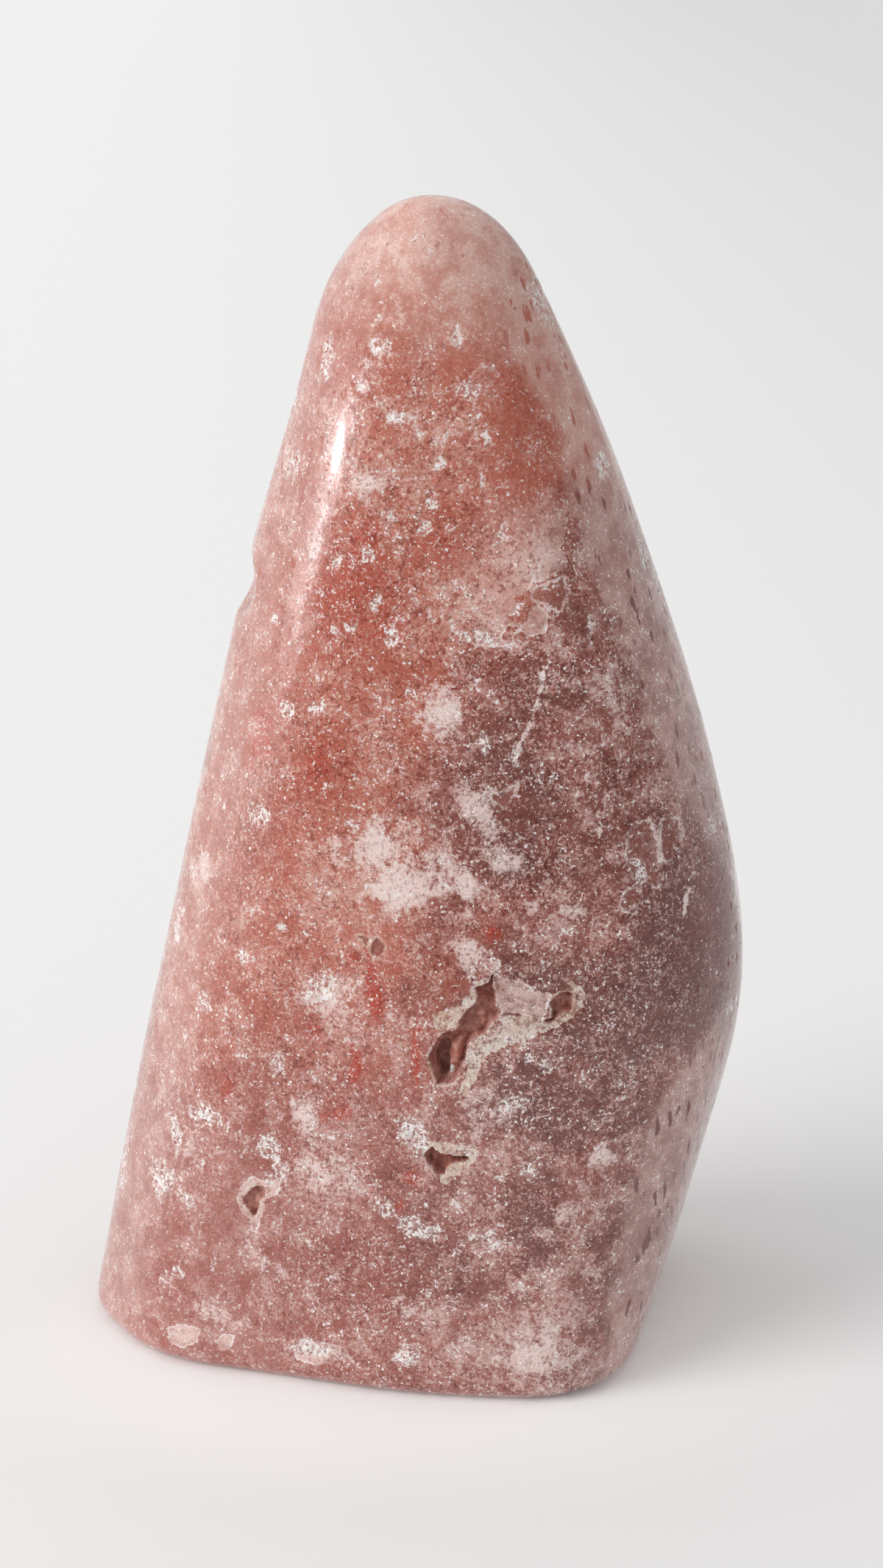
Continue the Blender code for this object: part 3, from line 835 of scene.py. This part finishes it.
# White of broken crystal rims, and of painted glints.
CRYSTAL_AND_GLINT_WHITE = colour(252, 246, 244)
IRON_RED = colour(182, 60, 37)
CRUST_GREEN = colour(236, 230, 220)
CRUST_YELLOW = colour(212, 194, 172)
FLAKE_PALE = colour(236, 208, 200)
VUG_BROWN = colour(168, 106, 94)
VUG_MAUVE = colour(196, 146, 134)
GRAIN_SHADE = (0.56, 0.37, 0.34)  # how much of its light the dark grain keeps
PIT_DRAW = 0.45  # the polishing has drawn the pits out upwards by the inverse of this
STREAK_DRAW = 0.28  # and the dark streaks of the right flank by the inverse of this
# What is the same all over the stone.
STONE_FINISH = {
    "Coat Roughness": 0.07,
    "Coat IOR": 1.45,
    "Specular IOR Level": 0.35,
    "Sheen Weight": 0.12,
    "Sheen Roughness": 0.35,
    "Sheen Tint": colour(255, 246, 243),
    "Subsurface Weight": 0.35,
    "Subsurface Radius": (1.0, 0.42, 0.32),
    "Subsurface Scale": 0.0025,
}


class Value:
    """A socket of a node tree that adds and multiplies like a number."""

    def __init__(self, nodes, socket):
        self.nodes, self.socket = nodes, socket

    def __add__(self, other):
        return self.nodes.math("ADD", self, other)

    def __radd__(self, other):
        return self.nodes.math("ADD", other, self)

    def __rsub__(self, other):
        return self.nodes.math("SUBTRACT", other, self)

    def __mul__(self, other):
        return self.nodes.math("MULTIPLY", self, other)


class Nodes:
    """Short calls for building a node tree."""

    def __init__(self, tree, coordinates="Object", unit=MM):
        self.tree = tree
        place = self.add("ShaderNodeTexCoord").outputs[coordinates]
        self.position = self.vector("SCALE", place, scale=1 / unit)

    def add(self, kind, **settings):
        node = self.tree.nodes.new(kind)
        for name, value in settings.items():
            setattr(node, name, value)
        return node

    def fill(self, socket, value):
        value = getattr(value, "socket", value)
        if isinstance(value, bpy.types.NodeSocket):
            self.tree.links.new(value, socket)
        else:
            socket.default_value = value

    def fill_all(self, node, values):
        for name, value in values.items():
            self.fill(node.inputs[name], value)

    def vector(self, operation, a, b=None, scale=None):
        node = self.add("ShaderNodeVectorMath", operation=operation)
        given = {0: a, 1: b, "Scale": scale}
        self.fill_all(node, {name: value for name, value in given.items() if value is not None})
        return Value(self, node.outputs["Value" if operation in ("DOT_PRODUCT", "LENGTH") else 0])

    def math(self, operation, a, b=0.0, clamp=False):
        node = self.add("ShaderNodeMath", operation=operation, use_clamp=clamp)
        self.fill(node.inputs[0], a)
        self.fill(node.inputs[1], b)
        return Value(self, node.outputs[0])

    def most(self, a, b):
        return self.math("MAXIMUM", a, b)

    def mix(self, share, a, b):
        node = self.add("ShaderNodeMix", data_type="RGBA")
        self.fill_all(node, {0: share, 6: a, 7: b})
        return Value(self, node.outputs[2])

    def step(self, value, low, high, top=1.0):
        node = self.add("ShaderNodeMapRange", interpolation_type="SMOOTHSTEP")
        for socket, given in zip(node.inputs, (value, low, high, 0.0, top)):
            self.fill(socket, given)
        return Value(self, node.outputs[0])

    def centred(self, value, amount):
        """A value from 0 to 1 as one from -amount/2 to amount/2."""
        return self.math("SUBTRACT", value, 0.5) * amount

    def noise(self, size, detail=2.0, roughness=0.55, shift=0.0, output="Fac"):
        """Noise from 0 to 1 with blobs of this size in mm."""
        node = self.add("ShaderNodeTexNoise")
        place = self.position
        if shift:
            place = self.vector("ADD", place, (shift, shift, shift))
        given = {"Vector": place, "Scale": 1 / size, "Detail": detail, "Roughness": roughness}
        self.fill_all(node, given)
        return Value(self, node.outputs[output])

    def cells(self, size, position, feature="F1"):
        """The outputs by name of Voronoi cells of this size in mm."""
        node = self.add("ShaderNodeTexVoronoi", feature=feature)
        self.fill_all(node, {"Vector": position, "Scale": 1 / size})
        return {socket.name: Value(self, socket) for socket in node.outputs}

    def mask(self, name):
        return Value(self, self.add("ShaderNodeAttribute", attribute_name=name).outputs["Fac"])

    def warped(self, size, amount):
        """The position in mm, stirred by noise of this size."""
        stir = self.vector("SUBTRACT", self.noise(size, output="Color"), (0.5, 0.5, 0.5))
        return self.vector("ADD", self.position, self.vector("SCALE", stir, scale=amount))

    def drawn_out(self, size, amount, draw):
        """The same, with all that is laid out in it drawn out upwards."""
        return self.vector("MULTIPLY", self.warped(size, amount), (1.0, 1.0, draw))


class StoneNodes(Nodes):
    """The stone's node tree: its layers, the base colour so far, and what the layers share."""

    def __init__(self, tree):
        super().__init__(tree)
        self.coarse = self.noise(4.5, 4.0, 0.55)
        self.misty = self.noise(2.6, 7.0, 0.70, shift=3.0)
        self.medium = self.noise(0.95, 4.0, 0.62)
        self.fine = self.noise(0.30, 3.0, 0.70)
        self.stirred = self.warped(0.5, 0.5)
        self.patchy = (
            self.centred(self.misty, 1.4) + self.centred(self.medium, 0.8)
            + self.centred(self.fine, 0.6)
        )
        self.mauve = self.mask("mauve")
        self.painted_sheen_and_milky = self.mask("painted_sheen_and_milky")
        self.quiet = self.mask("quiet")
        self.druze = self.mask("druze")
        self.near_druze = self.step(self.druze, 0.0, 0.6)
        tone = self.math("ADD", self.mauve, self.centred(self.coarse, 0.7), clamp=True)
        # Greyish pink, and as painted shade on the left flank.
        dusty_and_shade = self.math("ADD", self.mask("dusty_and_shade"), self.centred(self.coarse, 0.5), clamp=True)
        self.deep, self.middle, self.pale = (
            self.mix(tone, self.mix(dusty_and_shade, coral, pink), grey)
            for coral, pink, grey in zip(CORALS, DUSTIES, MAUVES)
        )

    def over(self, share, tint):
        """Lays a colour over the base colour."""
        self.base = self.mix(share, self.base, tint)


def lay_body(n):
    """Coral giving way to greyish pink and mauve, with painted shade on the left flank, and with
    iron-red stains that run in threads.
    """
    n.shade = n.mask("shade")
    n.frost = n.mask("frost") + n.shade * 0.8
    slow = n.frost + n.centred(n.coarse, 1.6) + n.centred(n.misty, 1.2)
    n.base = n.mix(n.step(slow, 0.05, 0.95), n.deep, n.middle)
    thread = n.math("ABSOLUTE", n.centred(n.noise(1.3, 3.0, 0.6, shift=31.0), 1.0))
    iron = n.mask("iron") + n.patchy + n.step(thread, 0.08, 0.01) * 0.22
    iron = n.step(iron, 0.14, 0.62, 0.88)
    n.over(iron, IRON_RED)
    n.clear = 1.0 - iron * 0.6


def lay_frost(n):
    """Frost within the stone, painted shade on the bulge, denser frost with a painted glow round
    the left ridge's highlight, iron threads and healed cracks.
    """
    drift = n.misty + n.centred(n.frost, 0.16) + n.centred(n.fine, 0.34) + n.near_druze * 0.06
    share = (0.50 + n.mauve * 0.42) * n.clear * (1.0 + n.quiet * -0.35)
    n.over(n.step(drift, 0.47, 0.66, share), n.pale)
    # Deeper where the shade mask is negative; on the bulge this is painted shade, laid on in
    # SHADOW_RED.
    gloom = n.shade * -1.6 + n.centred(n.misty, 0.6)
    n.over(n.step(gloom, 0.05, 0.75, 0.7), n.deep)
    n.over(n.step(gloom, 0.85, 1.50, 0.42), SHADOW_RED)
    # Denser frost, and the painted glow round the left ridge's highlight.
    cloud = n.mask("cloud") * 1.1 + n.patchy * 1.25 + n.centred(n.fine, 1.0)
    n.cloud = n.step(cloud, 0.18, 0.92, 0.88)
    n.over(n.cloud, CLOUD_WHITE)
    n.over(n.step(n.mask("thread") + n.patchy * 1.3, 0.34, 0.84, 0.85), IRON_RED)
    n.over(n.step(n.mask("vein") + n.patchy * 1.7, 0.45, 0.85, 0.95), CLOUD_WHITE)


def lay_flakes(n):
    """Flakes with crisp edges that fade out on one side."""
    pale = n.mask("flake_pale")
    edge = n.mask("flake") + n.patchy * 0.25
    n.flake = n.step(edge, 0.0, 0.08) * pale * (0.35 + n.step(n.patchy, -0.25, 0.25, 0.45))
    n.over(n.flake, FLAKE_PALE)
    rim = n.step(edge, -0.04, 0.04) * n.step(edge, 0.26, 0.06) * n.step(pale, 0.15, 0.6)
    n.over(rim * n.step(n.misty, 0.42, 0.58, 0.9), CRYSTAL_AND_GLINT_WHITE)


def lay_crusts(n):
    """Lumpy crusts with crisp edges, and the crust round the vugs."""
    edge = n.mask("crust") + n.patchy * 0.5
    kind = n.mix(n.step(n.coarse, 0.40, 0.58), CRUST_YELLOW, CRUST_GREEN)
    crust = n.step(edge, 0.0, 0.10, 0.85 + n.centred(n.misty, 0.8))
    crust = n.most(crust, n.step(n.mask("vug") + n.patchy * 0.3, -0.35, -0.12, 0.40))
    lumpy = n.medium + n.centred(n.fine, 0.7)
    kind = n.mix(n.step(lumpy, 0.52, 0.38, 0.65), kind, n.middle)
    n.over(crust, n.mix(n.step(lumpy, 0.56, 0.68, 0.8), kind, CRYSTAL_AND_GLINT_WHITE))


def lay_grain(n):
    """Salt and pepper, fainter where quiet or under the painted sheen; then the painted sheen."""
    salt = n.fine + n.centred(n.medium, 0.5) + n.centred(n.misty, 0.2)
    even = n.most(n.painted_sheen_and_milky * 0.9, n.quiet * 0.65)
    even = 1.0 - n.most(even, n.most(n.flake, n.cloud) * 0.35)
    even = even * (0.60 + n.step(n.coarse, 0.38, 0.58, 0.40))
    n.over(n.step(salt, 0.525, 0.605, (0.60 + n.mauve * 0.26) * n.clear * even), n.pale)
    pepper = n.noise(0.35, 3.0, 0.70, shift=41.0) + n.centred(n.medium, -0.4)
    n.over(n.step(pepper, 0.525, 0.60, even), n.vector("MULTIPLY", n.base, GRAIN_SHADE))
    # The painted sheen: pale reflection down the flanks, and on the crown part sheen, part frost.
    n.over(n.painted_sheen_and_milky * (0.5 + n.step(n.misty, 0.30, 0.60, 0.5)), n.pale)


def lay_panes(n):
    """Clear panes with lacy edges."""
    edge = n.mask("pane") + n.patchy * 0.35
    n.over(n.step(edge, 0.0, 0.12, 0.60), n.mix(0.5, n.deep, n.middle))
    lace = n.step(edge, -0.34, -0.10) * n.step(edge, 0.14, 0.0)
    n.over(lace * n.step(n.misty, 0.40, 0.54, 0.62), CLOUD_WHITE)


def lay_druze(n):
    """Pale crystal lumps whose facets each carry a painted glint or painted shade of their own."""
    lumps = n.cells(2.0, n.warped(0.8, 0.9))
    lump = n.step(lumps["Distance"] + n.patchy * -0.35, 0.26, 0.16)
    lump = lump * n.step(lumps["Color"], 0.62, 0.66)
    n.in_druze = n.most(n.step(n.druze + n.patchy * 2.0, 0.42, 0.78), lump * 0.75)
    lobes = n.cells(1.0, n.warped(0.7, 0.6), "DISTANCE_TO_EDGE")
    n.seam = n.step(lobes["Distance"], 0.10, 0.03)
    n.seam = n.seam * n.step(n.druze + n.patchy * 0.8, 0.15, 0.4)
    facets = n.cells(0.46, n.stirred)
    n.tilt = n.vector(
        "DOT_PRODUCT",
        n.vector("SUBTRACT", n.stirred, facets["Position"]),
        n.vector("SUBTRACT", facets["Color"], (0.5, 0.5, 0.5)),
    )
    # Painted light on the facets: white glints where lit is high, painted shade where it is low.
    lit = facets["Color"] + n.tilt * 1.5
    n.over(n.in_druze * 0.12 + n.near_druze * 0.12, CLOUD_WHITE)
    n.over(n.step(lit, 0.70, 0.78, 0.97) * n.in_druze, CRYSTAL_AND_GLINT_WHITE)
    n.over(n.step(lit, 0.40, 0.28, 0.85) * n.in_druze, n.deep)


def lay_sparkle(n):
    """Broken crystal rims as short curved dashes, and single points of painted glint."""
    rim = n.math("ABSOLUTE", n.centred(n.noise(0.75, 2.0, 0.6, shift=23.0), 1.0))
    broken = n.noise(0.42, 3.0, 0.7, shift=17.0)
    room = broken + n.near_druze * 0.13 + n.centred(n.misty, 0.35)
    dashes = n.step(rim, 0.036, 0.012) * n.step(room, 0.545, 0.59, 0.95)
    dashes = dashes * (1.0 + n.quiet * -0.55)
    n.dashes = n.most(dashes, n.seam * n.step(broken, 0.42, 0.50, 0.95))
    n.over(n.dashes, CRYSTAL_AND_GLINT_WHITE)
    # Painted glints: single white points.
    points = n.cells(0.48, n.stirred)
    bright = points["Color"] + n.near_druze * 0.12 + n.centred(n.misty, 0.9)
    bright = bright + n.quiet * -0.14 + 0.03
    flash = n.step(points["Distance"], 0.32, 0.16) * n.step(bright, 0.74, 0.86, 0.97)
    n.over(flash, CRYSTAL_AND_GLINT_WHITE)


def lay_vugs(n):
    n.vug = n.step(n.mask("vug"), 0.0, 0.12)
    inner = n.mix(n.step(n.patchy + n.coarse, 0.3, 0.8), VUG_BROWN, VUG_MAUVE)
    # White where the druze mask is high; low in the main vug this is a painted glint.
    n.over(n.vug, n.mix(n.step(n.druze, 0.3, 0.7), inner, CRYSTAL_AND_GLINT_WHITE))


def lay_pits(n):
    """Pits that the polish never reached, and dark streaks in the painted reflection of the right
    flank.
    """
    wide = n.cells(1.1, n.drawn_out(0.9, 0.6, PIT_DRAW))
    wide = n.step(wide["Distance"], 0.34, 0.20) * n.step(wide["Color"], 0.60, 0.68)
    small = n.cells(0.5, n.stirred)
    small = n.step(small["Distance"], 0.30, 0.18) * n.step(small["Color"], 0.66, 0.72)
    n.pits = n.most(wide, small)
    streaks = n.cells(1.1, n.drawn_out(1.2, 0.9, STREAK_DRAW))
    streak = n.step(streaks["Color"] + n.centred(n.coarse, 1.0), 0.42, 0.52)
    streak = n.step(streaks["Distance"], 0.36, 0.20) * streak
    # Where pits mirror nothing, the painted reflection of the right flank gives way to the deep
    # colour.
    n.over(n.mask("band") * streak * 0.95, n.deep)


def stone_material():
    material = bpy.data.materials.new("pink_amethyst_polished")
    material.use_nodes = True
    n = StoneNodes(material.node_tree)
    for lay in (
        lay_body, lay_frost, lay_flakes, lay_crusts, lay_grain, lay_panes, lay_druze, lay_sparkle,
        lay_vugs, lay_pits,
    ):
        lay(n)
    dull = n.most(n.pits, n.most(n.vug, n.in_druze * 0.6))
    # Relief too small for the mesh: grain, crystal faces tilted each its own way, and the pits.
    relief = n.tilt * n.in_druze * 0.5 + n.pits * -0.05 + n.dashes * 0.02 + n.fine * 0.008
    bump = n.add("ShaderNodeBump")
    n.fill_all(bump, {"Strength": 1.0, "Distance": MM, "Height": relief})
    n.fill_all(material.node_tree.nodes["Principled BSDF"], {
        "Base Color": n.base,
        "Roughness": 0.36 + n.fine * 0.16 + dull * 0.12,
        "Coat Weight": (1.0 - dull) * 0.9,
        "Normal": bump.outputs["Normal"],
        **STONE_FINISH,
    })
    return material


def floor_material():
    material = bpy.data.materials.new("white_floor")
    material.use_nodes = True
    n = Nodes(material.node_tree, unit=1.0)
    split = n.add("ShaderNodeSeparateXYZ")
    n.fill(split.inputs[0], n.position)
    across, along, _ = (Value(n, socket) for socket in split.outputs)
    # Painted shade towards the right of the floor.
    share = n.step(across + along * FLOOR_SHADE_SLANT, *FLOOR_SHADE_FADE)
    shaded_paper = n.mix(share, (*FLOOR_LEFT_COLOUR, 1.0), (*FLOOR_SHADED_COLOUR, 1.0))
    mirrored = n.add("ShaderNodeLightPath").outputs["Is Glossy Ray"]
    room = Value(n, mirrored) * n.step(along, *PAPER_FRONT)
    # A painted pool of light: the floor glows in front of the stone.
    from_glow = n.vector("SUBTRACT", n.position, FLOOR_GLOW_MIDDLE)
    from_glow = n.vector("MULTIPLY", from_glow, (1 / FLOOR_GLOW_REACH[0], 1 / FLOOR_GLOW_REACH[1], 0.0))
    n.fill_all(material.node_tree.nodes["Principled BSDF"], {
        "Base Color": n.mix(room, shaded_paper, (*ROOM_COLOUR, 1.0)),
        "Emission Strength": n.step(n.vector("LENGTH", from_glow), 1.1, 0.3, FLOOR_GLOW_STRENGTH),
        "Emission Color": (1.0, 1.0, 1.0, 1.0),
        "Roughness": 0.8,
        "Specular IOR Level": 0.0,
    })
    return material


# == Studio ==


def facing(place, target):
    return (Vector(target) - Vector(place)).to_track_quat("-Z", "Y")


def make_floor():
    mesh = bpy.data.meshes.new("studio_floor")
    disc = bmesh.new()
    bmesh.ops.create_circle(disc, cap_ends=True, segments=96, radius=FLOOR_RADIUS)
    disc.to_mesh(mesh)
    disc.free()
    mesh.materials.append(floor_material())
    floor = new_object("studio_floor", mesh)


def add_light(name, kind, place, target):
    lamp = new_object(name, bpy.data.lights.new(name, kind))
    lamp.location = place
    lamp.rotation_euler = facing(place, target).to_euler()
    lamp.visible_camera = False
    return lamp


def room_world():
    """A dark room with a bright ceiling, a white sweep at the back and a window at the left."""
    world = bpy.data.worlds.new("room")
    world.use_nodes = True
    background = world.node_tree.nodes["Background"]
    n = Nodes(world.node_tree, "Generated", 1.0)
    split = n.add("ShaderNodeSeparateXYZ")
    n.fill(split.inputs[0], n.position)
    across, along, up = split.outputs
    sweep = n.step(along, -0.08, 0.06) * n.step(up, 0.75, 0.35)
    sweep = sweep * (1.0 + n.step(across, 0.05, 0.45, -0.6))
    shine = ROOM_LIGHT + n.step(up, 0.25, 0.60, CEILING_LIGHT) + sweep * SWEEP_LIGHT
    shine = shine + n.step(across, 0.0, -0.9, WINDOW_LIGHT)
    seen = n.add("ShaderNodeLightPath").outputs["Is Camera Ray"]
    strength = n.add("ShaderNodeMix", data_type="FLOAT")
    n.fill_all(strength, {0: seen, 2: shine, 3: SWEEP_SEEN})
    white = (1.0, 1.0, 1.0, 1.0)
    n.fill_all(background, {"Strength": strength.outputs[0], "Color": white})
    return world


def make_lights():
    bpy.context.scene.world = room_world()
    for name, (turn, height, width, strength, tint) in SOFTBOXES.items():
        softbox = add_light(name, "SUN", heading(-turn, height), (0.0, 0.0, 0.0))
        softbox.data.angle = math.radians(width)
        softbox.data.energy, softbox.data.color = strength, tint
        softbox.visible_glossy = False
    for name, (place, width, height, power) in STRIPS.items():
        strip = add_light(name, "AREA", place, STRIP_TARGET)
        strip.data.shape = "ELLIPSE"
        strip.data.size, strip.data.size_y, strip.data.energy = width, height, power
        strip.visible_diffuse = False


def make_camera():
    camera = bpy.data.cameras.new("camera")
    camera.lens = CAMERA_LENS
    camera.sensor_width = CAMERA_SENSOR
    camera.clip_start = 0.01
    camera.clip_end = 50.0
    rise = math.radians(CAMERA_ELEVATION)
    place = Vector(CAMERA_TARGET) + CAMERA_DISTANCE * Vector((0, -math.cos(rise), math.sin(rise)))
    holder = new_object("camera", camera)
    holder.location = place
    holder.rotation_euler = facing(place, CAMERA_TARGET).to_euler()
    bpy.context.scene.camera = holder


stone = stone_piece()
stone.data.materials.append(stone_material())
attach(stone, "root")
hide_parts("stone")
make_floor()
make_lights()
make_camera()
bpy.context.scene.view_settings.view_transform = "Standard"
